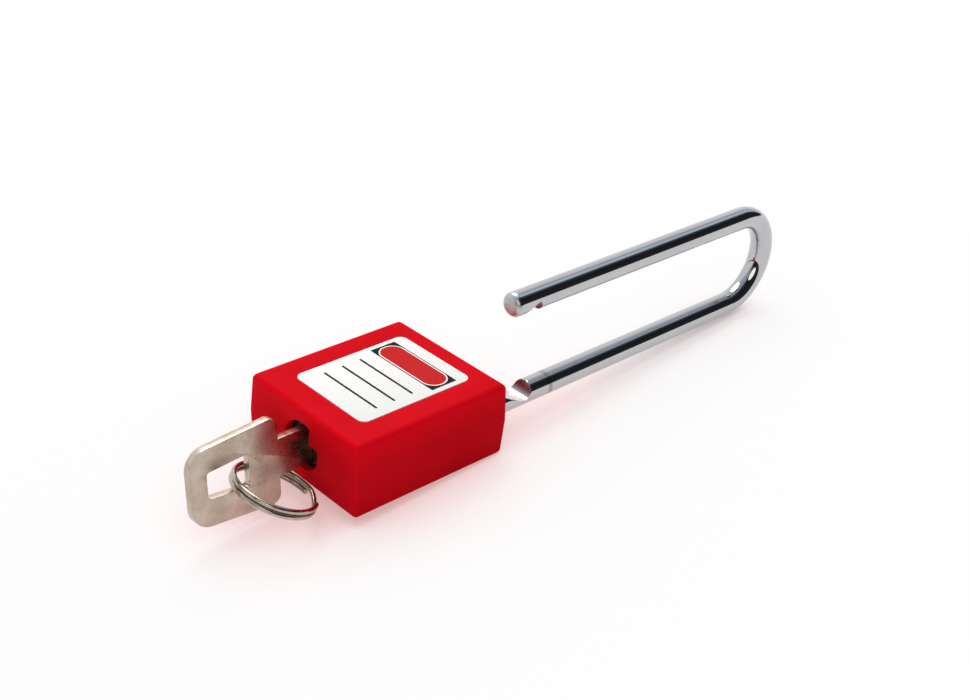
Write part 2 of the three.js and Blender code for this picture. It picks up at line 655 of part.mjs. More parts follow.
const collarBore = SPIGOT_RADIUS + COLLAR_FIT;
const collarRim = 0.3;
const collarProfile = [
  [collarBore, collarFootY],
  [COLLAR_RADIUS - collarRim, collarFootY],
  [COLLAR_RADIUS, collarFootY + collarRim],
  [COLLAR_RADIUS, collarTopY - collarRim],
  [COLLAR_RADIUS - collarRim, collarTopY],
  [collarBore, collarTopY],
  [collarBore, collarFootY],
];
heel.add(mesh("heel_collar", solid(turned(collarProfile, 32)), steel));

const kick = mesh("kick_spring", solid(spring(KICK_MEAN, KICK_WIRE, 0, KICK_LENGTH, KICK_TURNS, 14, 6)), springSteel);
kick.position.set(heelX, caseBottomY, midZ);
lock.add(kick);

// A polygon of [across, up, corner radius] points, with its corners rounded
function roundedPolygon(corners, Kind = THREE.Shape) {
  const shape = new Kind();
  const count = corners.length;
  corners.forEach(([x, y, radius], i) => {
    const here = new THREE.Vector2(x, y);
    if (radius === 0) {
      if (i === 0) shape.moveTo(x, y);
      else shape.lineTo(x, y);
      return;
    }
    const [before, after] = [corners[(i + count - 1) % count], corners[(i + 1) % count]];
    const back = new THREE.Vector2(before[0], before[1]).sub(here).normalize();
    const ahead = new THREE.Vector2(after[0], after[1]).sub(here).normalize();
    const half = Math.acos(back.dot(ahead)) / 2;
    const centre = here.clone().addScaledVector(back.clone().add(ahead).normalize(), radius / Math.sin(half));
    const run = radius / Math.tan(half);
    const [first, last] = [here.clone().addScaledVector(back, run), here.clone().addScaledVector(ahead, run)];
    const angleTo = (point) => Math.atan2(point.y - centre.y, point.x - centre.x);
    shape.absarc(centre.x, centre.y, radius, angleTo(first), angleTo(last), back.cross(ahead) > 0);
  });
  shape.closePath();
  return shape;
}

// Key: one stamped plate, its head narrowing to the end and its blade cut in steps that fall towards the tip
const headTaper = (distance) => (KEY_HEAD_TAPER * distance) / KEY_HEAD_LENGTH;
function keyPlate() {
  const half = NECK_WIDTH / 2;
  const headHalf = KEY_HEAD_WIDTH / 2;
  const endHalf = headHalf - KEY_HEAD_TAPER;
  const tipY = plugFaceY + BLADE_LENGTH;
  const nose = 1.2;
  const cuts = [];
  for (let i = PIN_COUNT - 1; i >= 0; i--) {
    const level = cutLevel(i) - PIN_ON_KEY_GAP;
    cuts.push([pinLevels[i] + CUT_HALF, level, 0], [pinLevels[i] - CUT_HALF, level, 0]);
  }
  const plate = roundedPolygon([
    [neckStartY, half, 0],
    [headStartY, half, 0],
    [headStartY, headHalf - KEY_HEAD_DROP, KEY_HEAD_INNER_CORNER],
    [headEndY, endHalf - KEY_HEAD_DROP, KEY_HEAD_CORNER],
    [headEndY, -endHalf - KEY_HEAD_DROP, KEY_HEAD_CORNER],
    [headStartY, -headHalf - KEY_HEAD_DROP, KEY_HEAD_INNER_CORNER],
    [headStartY, -half, 0],
    [neckStartY, -half, 0],
    [neckStartY, BLADE_BOTTOM, 0],
    [tipY - nose, BLADE_BOTTOM, 0],
    [tipY, BLADE_BOTTOM + nose, 0],
    ...cuts,
    [pinLevels[0] - CUT_HALF - (BLADE_TOP - cutLevel(0)), BLADE_TOP, 0],
    [neckStartY, BLADE_TOP, 0],
  ]);
  const holeY = headStartY - KEY_HOLE_SETBACK;
  const wide = KEY_HOLE_WIDTH / 2;
  const narrow = wide - headTaper(KEY_HOLE_LENGTH);
  const hole = roundedPolygon(
    [
      [holeY, -wide, KEY_HOLE_CORNER],
      [holeY, wide, KEY_HOLE_CORNER],
      [holeY - KEY_HOLE_LENGTH, narrow, KEY_HOLE_CORNER],
      [holeY - KEY_HOLE_LENGTH, -narrow, KEY_HOLE_CORNER],
    ],
    THREE.Path,
  );
  plate.holes.push(hole);
  return solid(extrudedX(plate, -KEY_THICKNESS / 2, KEY_THICKNESS / 2, 5));
}
const wardGroove = (side) => {
  const inner = side * (KEY_THICKNESS / 2 - WARD_DEPTH);
  const outer = side * (KEY_THICKNESS / 2 + past);
  const [x0, x1] = [Math.min(inner, outer), Math.max(inner, outer)];
  return solid(block(x0, x1, neckStartY, plugFaceY + BLADE_LENGTH + past, WARD_LEVEL - WARD_WIDTH / 2, WARD_LEVEL + WARD_WIDTH / 2));
};
const keyGroup = new THREE.Group();
turning.add(keyGroup);
keyGroup.add(mesh("key", cut(keyPlate(), wardGroove(-1), wardGroove(1)), nickel));

// Split ring: two flat turns of wire, one step apart, threaded through the hole and round the head's inner edge
function splitRing() {
  const radius = (RING_OUTER - RING_WIRE) / 2;
  const free = RING_JOG / 2;
  const start = free + RING_END_GAP;
  const end = 360 * RING_TURNS - free - RING_END_GAP;
  const path = [];
  const steps = Math.round(((end - start) / 360) * RING_STEPS);
  for (let i = 0; i <= steps; i++) {
    const degrees = start + ((end - start) * i) / steps;
    const share = THREE.MathUtils.clamp((degrees - 360 + free) / RING_JOG, 0, 1);
    const height = RING_PITCH * (THREE.MathUtils.smoothstep(share, 0, 1) - 0.5);
    const angle = THREE.MathUtils.degToRad(degrees);
    path.push({
      at: new THREE.Vector3(radius * Math.cos(angle), radius * Math.sin(angle), height),
      along: new THREE.Vector3(-Math.sin(angle), Math.cos(angle), 0),
      up: new THREE.Vector3(0, 0, 1),
    });
  }
  return solid(wire(path, RING_WIRE / 2, 8));
}
const ringRadius = (RING_OUTER - RING_WIRE) / 2;
const ringGap = new THREE.Vector3(0, headStartY + RING_GAP_AHEAD, RING_GAP_LEVEL);
const rise = THREE.MathUtils.degToRad(RING_CHORD_RISE);
const chordWay = new THREE.Vector3(0, Math.cos(rise), -Math.sin(rise));
const halfChord = RING_CHORD_SHARE * ringRadius;
const across = new THREE.Vector3(1, 0, 0);
const outward = across.clone().applyAxisAngle(chordWay, THREE.MathUtils.degToRad(RING_DROOP));
const ringReach = Math.sqrt(ringRadius * ringRadius - halfChord * halfChord);
const hanging = new THREE.Group();
hanging.position.copy(ringGap).addScaledVector(chordWay, -halfChord).addScaledVector(outward, ringReach);
hanging.quaternion.setFromRotationMatrix(
  new THREE.Matrix4().makeBasis(outward, chordWay, new THREE.Vector3().crossVectors(outward, chordWay)),
);
keyGroup.add(hanging);
const keyRing = mesh("key_ring", splitRing(), nickel);
keyRing.rotation.z = THREE.MathUtils.degToRad(RING_SPLIT);
hanging.add(keyRing);

export default lock;
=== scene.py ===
"""Looks of a keyed padlock with a long shackle, lying open with its key and a split ring."""

import math

import bmesh
import bpy
import numpy as np
from mathutils import Matrix, Vector


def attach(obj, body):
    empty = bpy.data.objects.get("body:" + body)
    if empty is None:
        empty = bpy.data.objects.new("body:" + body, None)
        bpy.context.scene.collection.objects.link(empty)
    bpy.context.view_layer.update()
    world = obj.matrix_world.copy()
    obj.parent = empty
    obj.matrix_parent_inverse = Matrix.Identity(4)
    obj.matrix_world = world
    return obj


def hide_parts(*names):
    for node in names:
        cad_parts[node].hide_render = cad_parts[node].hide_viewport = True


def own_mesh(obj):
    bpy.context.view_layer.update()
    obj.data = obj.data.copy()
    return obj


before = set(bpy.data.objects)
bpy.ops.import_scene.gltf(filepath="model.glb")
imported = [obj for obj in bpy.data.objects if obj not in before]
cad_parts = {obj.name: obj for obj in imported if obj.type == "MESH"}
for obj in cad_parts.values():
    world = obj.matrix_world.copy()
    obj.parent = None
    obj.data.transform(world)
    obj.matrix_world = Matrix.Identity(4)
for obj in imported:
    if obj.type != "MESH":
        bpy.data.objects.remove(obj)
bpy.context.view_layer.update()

MM = 0.001

# Sizes shared with the solids, in millimetres
BODY_WIDTH = 39.0
BODY_HEIGHT = 44.8
BODY_THICKNESS = 19.0
BODY_DRAFT = 0.4
EDGE_ROUND = 1.3
CORNER_RADIUS = 0.8
SIDE_WALL = 2.0
FACE_WALL = 2.3
END_WALL = 2.2
SHELL_FIT = 0.3
CAP_THICKNESS = 3.2
CAP_LEG_FIT = 0.35
CASE_CORNER = 1.6
APERTURE_RADIUS = 6.0
APERTURE_OVERLAP = 0.5
STOP_SIDE = 2.7
STOP_TOP = 1.5
LABEL_WIDTH = 24.8
LABEL_HEIGHT = 32.1
LABEL_CENTRE = 0.9
LABEL_CORNER = 2.0
LABEL_RECESS = 0.25
LABEL_PROUD = 0.1
LABEL_GAP = 0.08
SHACKLE_DIAMETER = 6.0
LEG_SPACING = 25.5
INNER_HEIGHT = 78.5
LIFT = 21.0
TOE_DEPTH = 16.7
TOE_DOME = 2.0
BALL_DEPTH = 11.1
HEEL_SHOULDER = 2.4
TOE_SHOULDER = 3.1
NOTCH_FLOOR = 3.3
HEEL_HOLLOW = 2.6
TOE_HOLLOW = 1.4
TOE_NOTCH = 6.2
HEEL_NOTCH = 9.9
GROOVE_HALF = 2.8
GROOVE_RADIUS = 1.6
HEAD_LENGTH = 1.3
SPIGOT_RADIUS = 1.6
SPIGOT_END = -18.5
KEY_THICKNESS = 2.0
KEY_TURN = 6.0
NECK_WIDTH = 9.2
NECK_START = -20.1
NECK_LENGTH = 8.9
KEY_HEAD_WIDTH = 21.5
KEY_HEAD_LENGTH = 22.6
KEY_HEAD_TAPER = 1.7
KEY_HEAD_DROP = 0.4
KEY_HEAD_CORNER = 5.0
KEY_HEAD_INNER_CORNER = 2.3
KEY_HOLE_WIDTH = 8.0
KEY_HOLE_LENGTH = 10.6
KEY_HOLE_SETBACK = 7.8
KEY_HOLE_CORNER = 0.8
BLADE_END = -2.5
BLADE_TOP = 3.3
BLADE_BOTTOM = -3.4
BLADE_TIP = 1.2
PIN_FIRST = -17.1
PIN_PITCH = 3.1
PIN_COUNT = 5
FIRST_CUT = 2.3
CUT_DROP = 0.55
CUT_HALF = 0.8
PIN_ON_KEY_GAP = 0.12
WARD_LEVEL = -1.7
WARD_WIDTH = 1.1
WARD_DEPTH = 0.5
RING_OUTER = 20.4
RING_WIRE = 1.2
RING_PITCH = 1.35
RING_JOG = 36.0
RING_CHORD_SHARE = 0.88
RING_CHORD_RISE = 23.5
RING_GAP_AHEAD = 4.0
RING_GAP_LEVEL = -7.4
RING_DROOP = 12.0
RING_SPLIT = 70.0
RING_END_GAP = 4.0

MID_Z = BODY_THICKNESS / 2
FACE_Y = BODY_HEIGHT / 2
HEEL_X = LEG_SPACING / 2
LEG_RADIUS = SHACKLE_DIAMETER / 2

SHOULDER_Y = FACE_Y - BALL_DEPTH + LIFT + HEEL_SHOULDER
HEEL_SIDE_Z = 20.0

# Wear and cuts on the rod: the rub mark's half widths, and the cut surfaces by depth and level, where a
# painted highlight lightens the heel notch's ramp and a painted shade darkens the notch walls
RUB_MARK_Y = SHOULDER_Y + 6.3
RUB_MARK_CORE = 0.4
RUB_MARK_EDGE = 0.9
CUT_DEPTH_START = 0.04
CUT_DEPTH_FULL = 0.12
CUT_FULL_Y = SHOULDER_Y + 0.8
CUT_END_Y = SHOULDER_Y + 1.0
NOTCH_RAMP_Y = SHOULDER_Y - 2.0
NOTCH_WALL_Y = SHOULDER_Y - 0.9

# Painted highlight on the moulded body near its edges, lighter on the upper part of its sides: inward
# from the sides, and levels
PAINTED_SHEEN_START = 1.7
PAINTED_SHEEN_FULL = 0.5
PAINTED_SHEEN_LOW = MID_Z + 2.0
PAINTED_SHEEN_HIGH = BODY_THICKNESS - 1.0

# Camera, in degrees, metres and pixels of a frame of 969 by 700
AZIMUTH = 44.31
ELEVATION = 29.594
ROLL = 4.991
CAMERA_AT = Vector((212.508, -184.627, 188.183)) * MM
FOCAL_PIXELS = 1436.076
FRAME_WIDTH = 969
SENSOR_WIDTH = 36.0


def place_camera():
    azimuth, elevation, roll = (math.radians(a) for a in (AZIMUTH, ELEVATION, ROLL))
    level = math.cos(elevation)
    back = Vector((math.sin(azimuth) * level, -math.cos(azimuth) * level, math.sin(elevation)))
    right = Vector((math.cos(azimuth), math.sin(azimuth), 0.0))
    up = back.cross(right)
    side = right * math.cos(roll) + up * math.sin(roll)
    over = up * math.cos(roll) - right * math.sin(roll)
    data = bpy.data.cameras.new("camera")
    data.sensor_fit = "HORIZONTAL"
    data.sensor_width = SENSOR_WIDTH
    data.lens = SENSOR_WIDTH * FOCAL_PIXELS / FRAME_WIDTH
    data.clip_start = 0.01
    data.clip_end = 20.0
    camera = bpy.data.objects.new("camera", data)
    turn = Matrix((side, over, back)).transposed().to_4x4()
    camera.matrix_world = Matrix.Translation(CAMERA_AT) @ turn
    bpy.context.collection.objects.link(camera)
    bpy.context.scene.camera = camera


place_camera()


# Materials
NOISE_ROUGHNESS = 0.55


class Nodes:
    """A material's node tree with short calls for adding and linking nodes."""

    def __init__(self, name):
        self.material = bpy.data.materials.new(name)
        self.material.use_nodes = True
        self.tree = self.material.node_tree
        self.shader = self.tree.nodes["Principled BSDF"]

    def add(self, kind):
        return self.tree.nodes.new("ShaderNode" + kind)

    def link(self, source, target):
        self.tree.links.new(source, target)

    def place(self, scale=(1, 1, 1)):
        coords = self.add("TexCoord")
        mapping = self.add("Mapping")
        mapping.inputs["Scale"].default_value = scale
        self.link(coords.outputs["Object"], mapping.inputs["Vector"])
        return mapping.outputs["Vector"]

    def axes(self):
        split = self.add("SeparateXYZ")
        self.link(self.place(), split.inputs[0])
        return [split.outputs[axis] for axis in "XYZ"]

    def noise(self, vector, scale, detail):
        node = self.add("TexNoise")
        node.inputs["Scale"].default_value = scale
        node.inputs["Detail"].default_value = detail
        node.inputs["Roughness"].default_value = NOISE_ROUGHNESS
        self.link(vector, node.inputs["Vector"])
        return node.outputs["Fac"]

    def remap(self, value, low, high, to_low, to_high):
        node = self.add("MapRange")
        node.inputs["From Min"].default_value = low
        node.inputs["From Max"].default_value = high
        node.inputs["To Min"].default_value = to_low
        node.inputs["To Max"].default_value = to_high
        self.link(value, node.inputs["Value"])
        return node.outputs["Result"]

    def math(self, operation, first, second=None):
        node = self.add("Math")
        node.operation = operation
        for socket, value in zip(node.inputs, (first, second)):
            if value is None:
                continue
            if isinstance(value, (int, float)):
                socket.default_value = value
            else:
                self.link(value, socket)
        return node.outputs[0]

    def product(self, first, *others):
        for other in others:
            first = self.math("MULTIPLY", first, other)
        return first

    def mix(self, factor, first, second):
        node = self.add("Mix")
        node.data_type = "RGBA"
        self.link(factor, node.inputs["Factor"])
        for socket, value in zip((node.inputs[6], node.inputs[7]), (first, second)):
            if isinstance(value, tuple):
                socket.default_value = (*value, 1.0)
            else:
                self.link(value, socket)
        return node.outputs[2]

    def bump(self, height, strength, distance):
        node = self.add("Bump")
        node.inputs["Strength"].default_value = strength
        node.inputs["Distance"].default_value = distance
        self.link(height, node.inputs["Height"])
        return node.outputs["Normal"]

    def set(self, **values):
        for key, value in values.items():
            socket = self.shader.inputs[key.replace("_", " ")]
            if isinstance(value, tuple):
                socket.default_value = (*value, 1.0)
            elif isinstance(value, (int, float)):
                socket.default_value = value
            else:
                self.link(value, socket)


def red_nylon():
    m = Nodes("red_nylon")
    fine = m.noise(m.place(), 900.0, 3.0)
    broad = m.noise(m.place(), 45.0, 2.0)
    plain = m.mix(m.remap(broad, 0.35, 0.65, 0, 1), (0.655, 0.003, 0.01), (0.71, 0.004, 0.013))
    x, y, z = m.axes()
    # Painted highlight: the upper part of the sides and the top face's rim get a lighter base colour,
    # standing for light from above
    outer = []
    for value, half in ((x, BODY_WIDTH / 2), (y, FACE_Y)):
        start, full = (half - PAINTED_SHEEN_START) * MM, (half - PAINTED_SHEEN_FULL) * MM
        outer.append(m.remap(m.math("ABSOLUTE", value), start, full, 0.0, 1.0))
    high = m.remap(z, PAINTED_SHEEN_LOW * MM, PAINTED_SHEEN_HIGH * MM, 0.0, 1.0)
    painted_sheen = m.product(m.math("MAXIMUM", *outer), high)
    m.set(Base_Color=m.mix(painted_sheen, plain, (0.86, 0.004, 0.013)))
    m.set(Roughness=m.remap(fine, 0.3, 0.7, 0.36, 0.46))
    m.set(Normal=m.bump(fine, 0.12, 0.00004))
    m.set(IOR=1.5, Specular_IOR_Level=0.008)
    return m.material


def chrome():
    """Bright plate with a rub mark on the heel leg, duller in the notches and on the toe's end, with a
    painted highlight on the heel notch's ramp and painted shade on the notch walls.
    """
    m = Nodes("chrome_plate")
    x, y, z = m.axes()
    streaks = m.noise(m.place((900, 40, 900)), 1.0, 3.0)
    cloud = m.noise(m.place(), 120.0, 3.0)
    plain = m.mix(m.remap(cloud, 0.3, 0.7, 0, 1), (0.485, 0.48, 0.495), (0.515, 0.515, 0.53))

    on_heel = m.remap(z, HEEL_SIDE_Z * MM, (HEEL_SIDE_Z + 1.0) * MM, 1.0, 0.0)
    from_mark = m.math("ABSOLUTE", m.math("SUBTRACT", y, RUB_MARK_Y * MM))
    mark = m.remap(from_mark, RUB_MARK_CORE * MM, RUB_MARK_EDGE * MM, 0.75, 0.0)
    worn = m.product(mark, on_heel, m.remap(streaks, 0.3, 0.6, 0.4, 1.0))

    side = m.math("SUBTRACT", x, HEEL_X * MM)
    height = m.math("PINGPONG", m.math("SUBTRACT", z, MID_Z * MM), LEG_SPACING * MM / 2)
    from_axis = m.math("SQRT", m.math("ADD", m.product(side, side), m.product(height, height)))
    deep, shallow = (LEG_RADIUS - CUT_DEPTH_FULL) * MM, (LEG_RADIUS - CUT_DEPTH_START) * MM
    inside = m.remap(from_axis, deep, shallow, 1.0, 0.0)
    cut = m.product(inside, m.remap(y, CUT_FULL_Y * MM, CUT_END_Y * MM, 1.0, 0.0))
    low, high = NOTCH_RAMP_Y * MM, NOTCH_WALL_Y * MM
    ramp = m.product(cut, m.remap(y, low, high, 1.0, 0.0), on_heel)
    wall = m.product(cut, m.remap(y, low, high, 0.0, 1.0))

    # Painted highlight: the heel notch's ramp gets a lighter base; painted shade: the notch walls get a
    # darker base, both on the rougher cut surface
    steel_and_painted_light = m.mix(wall, m.mix(ramp, plain, (0.64, 0.63, 0.64)), (0.24, 0.22, 0.23))
    m.set(Base_Color=m.mix(worn, steel_and_painted_light, (0.3, 0.2, 0.13)), Metallic=1.0)
    smooth = m.remap(streaks, 0.3, 0.7, 0.04, 0.085)
    m.set(Roughness=m.math("MAXIMUM", smooth, m.product(cut, 0.36)))
    m.set(Normal=m.bump(streaks, 0.05, 0.00001))
    return m.material


def nickel():
    m = Nodes("nickel_plate")
    grain = m.noise(m.place((60, 900, 900)), 1.0, 4.0)
    cloud = m.noise(m.place(), 160.0, 4.0)
    tint = m.mix(m.remap(cloud, 0.35, 0.65, 0, 1), (0.45, 0.36, 0.285), (0.61, 0.525, 0.45))
    m.set(Base_Color=tint, Metallic=1.0)
    m.set(Roughness=m.remap(grain, 0.3, 0.7, 0.25, 0.36))
    m.set(Normal=m.bump(grain, 0.12, 0.00002))
    return m.material


def ring_wire():
    m = Nodes("ring_wire")
    grain = m.noise(m.place(), 700.0, 3.0)
    tint = m.mix(m.remap(grain, 0.3, 0.7, 0, 1), (0.42, 0.355, 0.295), (0.54, 0.47, 0.4))
    m.set(Base_Color=tint, Metallic=1.0)
    m.set(Roughness=m.remap(grain, 0.3, 0.7, 0.2, 0.32))
    return m.material


def machined(name, dark, light, low, high):
    m = Nodes(name)
    grain = m.noise(m.place(), 500.0, 4.0)
    m.set(Base_Color=m.mix(m.remap(grain, 0.3, 0.7, 0, 1), dark, light), Metallic=1.0)
    m.set(Roughness=m.remap(grain, 0.3, 0.7, low, high))
    m.set(Normal=m.bump(grain, 0.08, 0.00003))
    return m.material


def film(name, dark, light, roughness):
    m = Nodes(name)
    grain = m.noise(m.place(), 1200.0, 2.0)
    m.set(Base_Color=m.mix(m.remap(grain, 0.35, 0.65, 0, 1), dark, light))
    m.set(Roughness=m.remap(grain, 0.3, 0.7, roughness, roughness + 0.1))
    m.set(Normal=m.bump(grain, 0.05, 0.00001))
    m.set(IOR=1.5, Specular_IOR_Level=0.03)
    return m.material


RED = red_nylon()
CHROME = chrome()
NICKEL = nickel()
RING = ring_wire()
ZINC = machined("die_cast_zinc", (0.3, 0.3, 0.31), (0.4, 0.4, 0.41), 0.4, 0.6)
BRASS = machined("machined_brass", (0.42, 0.27, 0.09), (0.55, 0.37, 0.14), 0.3, 0.45)
# Painted shade: the plug and cylinder shell get a near-black brass, standing for the shade inside the
# keyway
BRASS_IN_PAINTED_SHADE = machined("brass_in_painted_shade", (0.07, 0.032, 0.018), (0.14, 0.066, 0.034), 0.35, 0.5)
STEEL = machined("turned_steel", (0.5, 0.5, 0.51), (0.6, 0.6, 0.61), 0.2, 0.35)
SPRING = machined("spring_steel", (0.38, 0.38, 0.39), (0.48, 0.48, 0.5), 0.3, 0.45)
WHITE_FILM = film("white_film", (0.945, 0.94, 0.925), (0.975, 0.97, 0.955), 0.4)
BLACK_INK = film("black_ink", (0.012, 0.012, 0.013), (0.02, 0.02, 0.022), 0.45)
RED_INK = film("red_ink", (0.56, 0.014, 0.016), (0.62, 0.018, 0.02), 0.45)

NODE_LOOKS = {
    "lock_case": ZINC,
    "cylinder_shell": BRASS_IN_PAINTED_SHADE,
    "plug": BRASS_IN_PAINTED_SHADE,
    "cylinder_pin": STEEL,
    "chamber_cover": STEEL,
    "cam": STEEL,
    "locking_ball_toe": STEEL,
    "locking_ball_heel": STEEL,
    "heel_collar": STEEL,
    "plug_clip": SPRING,
    "heel_clip": SPRING,
    "kick_spring": SPRING,
}


def look_of(name):
    if name.startswith("driver_spring"):
        return SPRING
    if name.startswith(("driver_pin", "key_pin")):
        return BRASS
    return NODE_LOOKS.get(name)


for name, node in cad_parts.items():
    look = look_of(name)
    if look:
        node.data.materials.clear()
        node.data.materials.append(look)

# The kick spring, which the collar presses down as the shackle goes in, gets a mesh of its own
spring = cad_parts["kick_spring"]
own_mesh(spring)


# Mesh helpers, all in millimetres and degrees
SMOOTH_ANGLE = 30.0
PAST = 2.0


def make(name, points, faces, material, smooth):
    mesh = bpy.data.meshes.new(name)
    mesh.from_pydata([tuple(c * MM for c in p) for p in points], [], faces)
    mesh.validate()
    obj = bpy.data.objects.new(name, mesh)
    bpy.context.collection.objects.link(obj)
    if material:
        mesh.materials.append(material)
    weld(obj)
    shade(obj, smooth)
    return obj


def weld(obj):
    work = bmesh.new()
    work.from_mesh(obj.data)
    bmesh.ops.remove_doubles(work, verts=work.verts, dist=1e-7)
    bmesh.ops.recalc_face_normals(work, faces=work.faces)
    work.to_mesh(obj.data)
    work.free()


def shade(obj, angle=SMOOTH_ANGLE):
    for polygon in obj.data.polygons:
        polygon.use_smooth = True
    obj.data.set_sharp_from_angle(angle=math.radians(angle))


def freeze(obj):
    graph = bpy.context.evaluated_depsgraph_get()
    graph.update()
    baked = bpy.data.meshes.new_from_object(obj.evaluated_get(graph))
    obj.modifiers.clear()
    old = obj.data
    obj.data = baked
    bpy.data.meshes.remove(old)


def carve(obj, operation, *tools):
    for tool in tools:
        modifier = obj.modifiers.new("cut", "BOOLEAN")
        modifier.operation = operation
        modifier.solver = "EXACT"
        modifier.object = tool
        freeze(obj)
        bpy.data.objects.remove(tool)


def bevel(obj, width, angle=50.0, segments=3):
    modifier = obj.modifiers.new("bevel", "BEVEL")
    modifier.width = width * MM
    modifier.segments = segments
    modifier.limit_method = "ANGLE"
    modifier.angle_limit = math.radians(angle)
    modifier.harden_normals = False
    modifier.use_clamp_overlap = True
    freeze(obj)


def lofted(name, rings, material, smooth=SMOOTH_ANGLE):
    """A capped skin over a row of rings with the same number of points."""
    count = len(rings[0])
    last = (len(rings) - 1) * count
    points = [p for ring in rings for p in ring]
    faces = []
    for here in range(0, last, count):
        for i in range(count):
            j = (i + 1) % count
            faces.append((here + i, here + j, here + count + j, here + count + i))
    faces.append(tuple(range(count))[::-1])
    faces.append(tuple(range(last, last + count)))
    return make(name, points, faces, material, smooth)


def arc(cx, cy, radius, start, end, steps):
    angles = np.linspace(start, end, steps + 1)
    return [(cx + radius * math.cos(a), cy + radius * math.sin(a)) for a in angles]


def rounded_rectangle(x0, x1, y0, y1, radius, steps=10):
    quarter = math.pi / 2
    points = arc(x1 - radius, y0 + radius, radius, -quarter, 0, steps)
    points += arc(x1 - radius, y1 - radius, radius, 0, quarter, steps)
    points += arc(x0 + radius, y1 - radius, radius, quarter, 2 * quarter, steps)
    points += arc(x0 + radius, y0 + radius, radius, 2 * quarter, 3 * quarter, steps)
    return points


def prism(name, outline, low, high, axis, material=None):
    """An outline in the plane square to an axis (x, y or z), carried from one level to another."""
    def at(a, b, level):
        return {"x": (level, a, b), "y": (a, level, b), "z": (a, b, level)}[axis]
    rings = [[at(a, b, level) for a, b in outline] for level in (low, high)]
    return lofted(name, rings, material)


def circle(cx, cy, radius, steps=64):
    return arc(cx, cy, radius, 0, 2 * math.pi * (steps - 1) / steps, steps - 1)


# Moulded body
def body_form(name, material):
    corner_steps, round_steps = 14, 10
    levels = []
    for i in range(round_steps + 1):
        angle = 0.5 * math.pi * (round_steps - i) / round_steps
        z = EDGE_ROUND * (1 - math.sin(angle))
        levels.append((z, BODY_DRAFT * abs(z - MID_Z) / MID_Z + EDGE_ROUND * (1 - math.cos(angle))))
    upper = [(BODY_THICKNESS - z, inset) for z, inset in reversed(levels)]
    rings = []
    for z, inset in levels + [(MID_Z, 0.0)] + upper:
        half_x, half_y = BODY_WIDTH / 2 - inset, BODY_HEIGHT / 2 - inset
        outline = rounded_rectangle(-half_x, half_x, -half_y, half_y, CORNER_RADIUS, corner_steps)
        rings.append([(x, y, z) for x, y in outline])
    return lofted(name, rings, material)


def aperture_outline():
    high = math.sqrt(APERTURE_RADIUS**2 - STOP_SIDE**2)
    wide = math.sqrt(APERTURE_RADIUS**2 - STOP_TOP**2)
    top, side = math.atan2(high, STOP_SIDE), math.atan2(STOP_TOP, wide)
    points = [(STOP_SIDE, STOP_TOP)]
    points += arc(0, 0, APERTURE_RADIUS, top, math.pi + side, 40)
    points += [(-STOP_SIDE, -STOP_TOP)]
    points += arc(0, 0, APERTURE_RADIUS, math.pi + top, 2 * math.pi + side, 40)
    return [(x, z + MID_Z) for x, z in points]


def label_outline(grow):
    half_x, half_y = LABEL_WIDTH / 2 + grow, LABEL_HEIGHT / 2 + grow
    low, high = LABEL_CENTRE - half_y, LABEL_CENTRE + half_y
    return rounded_rectangle(-half_x, half_x, low, high, LABEL_CORNER + grow)


cavity_x = BODY_WIDTH / 2 - SIDE_WALL
cavity_y = -FACE_Y + END_WALL
cavity_corner = CASE_CORNER + SHELL_FIT
shell = body_form("moulded_shell", RED)
cavity = rounded_rectangle(-cavity_x, cavity_x, FACE_WALL, BODY_THICKNESS - FACE_WALL, cavity_corner)
carve(
    shell,
    "DIFFERENCE",
    prism("tool", cavity, cavity_y, FACE_Y + PAST, "y"),
    prism("tool", aperture_outline(), -FACE_Y - PAST, cavity_y + APERTURE_OVERLAP, "y"),
    prism("tool", label_outline(LABEL_GAP), BODY_THICKNESS - LABEL_RECESS, BODY_THICKNESS + PAST, "z"),
)
bevel(shell, 0.22)
shade(shell)
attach(shell, "body")
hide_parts("outer_shell")

case_x = cavity_x - SHELL_FIT
case_z = MID_Z - FACE_WALL - SHELL_FIT
cap = body_form("shackle_cap", RED)
case_outline = rounded_rectangle(-case_x, case_x, MID_Z - case_z, MID_Z + case_z, CASE_CORNER)
carve(cap, "INTERSECT", prism("tool", case_outline, FACE_Y - CAP_THICKNESS, FACE_Y + PAST, "y"))
for sign in (-1, 1):
    hole = circle(sign * HEEL_X, MID_Z, LEG_RADIUS + CAP_LEG_FIT)
    carve(cap, "DIFFERENCE", prism("tool", hole, FACE_Y - CAP_THICKNESS - PAST, FACE_Y + PAST, "y"))
bevel(cap, 0.2)
shade(cap)
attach(cap, "body")
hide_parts("top_cap")

# Label: a white film with a plain two-colour header and blank lines to write on
label_top = BODY_THICKNESS + LABEL_PROUD
label_bottom = BODY_THICKNESS - LABEL_RECESS
label = prism("label_film", label_outline(0.0), label_bottom, label_top, "z", WHITE_FILM)
bevel(label, 0.05, segments=2)
shade(label)
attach(label, "body")
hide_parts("label")

INK_SUNK = 0.02
INK_LAYER = 0.012
BAND_LEFT, BAND_RIGHT, BAND_LOW, BAND_HIGH = -11.1, 11.0, 6.1, 13.5
LINE_LEVELS = (1.6, -3.6, -8.8)
LINE_HALF = 9.4
LINE_WEIGHT = 0.3


def ink(name, outline, layer, material):
    piece = prism(name, outline, label_top - INK_SUNK, label_top + INK_LAYER * layer, "z", material)
    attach(piece, "body")


def band_outline(across, along, corner):
    left, right = BAND_LEFT + across, BAND_RIGHT - across
    return rounded_rectangle(left, right, BAND_LOW + along, BAND_HIGH - along, corner)


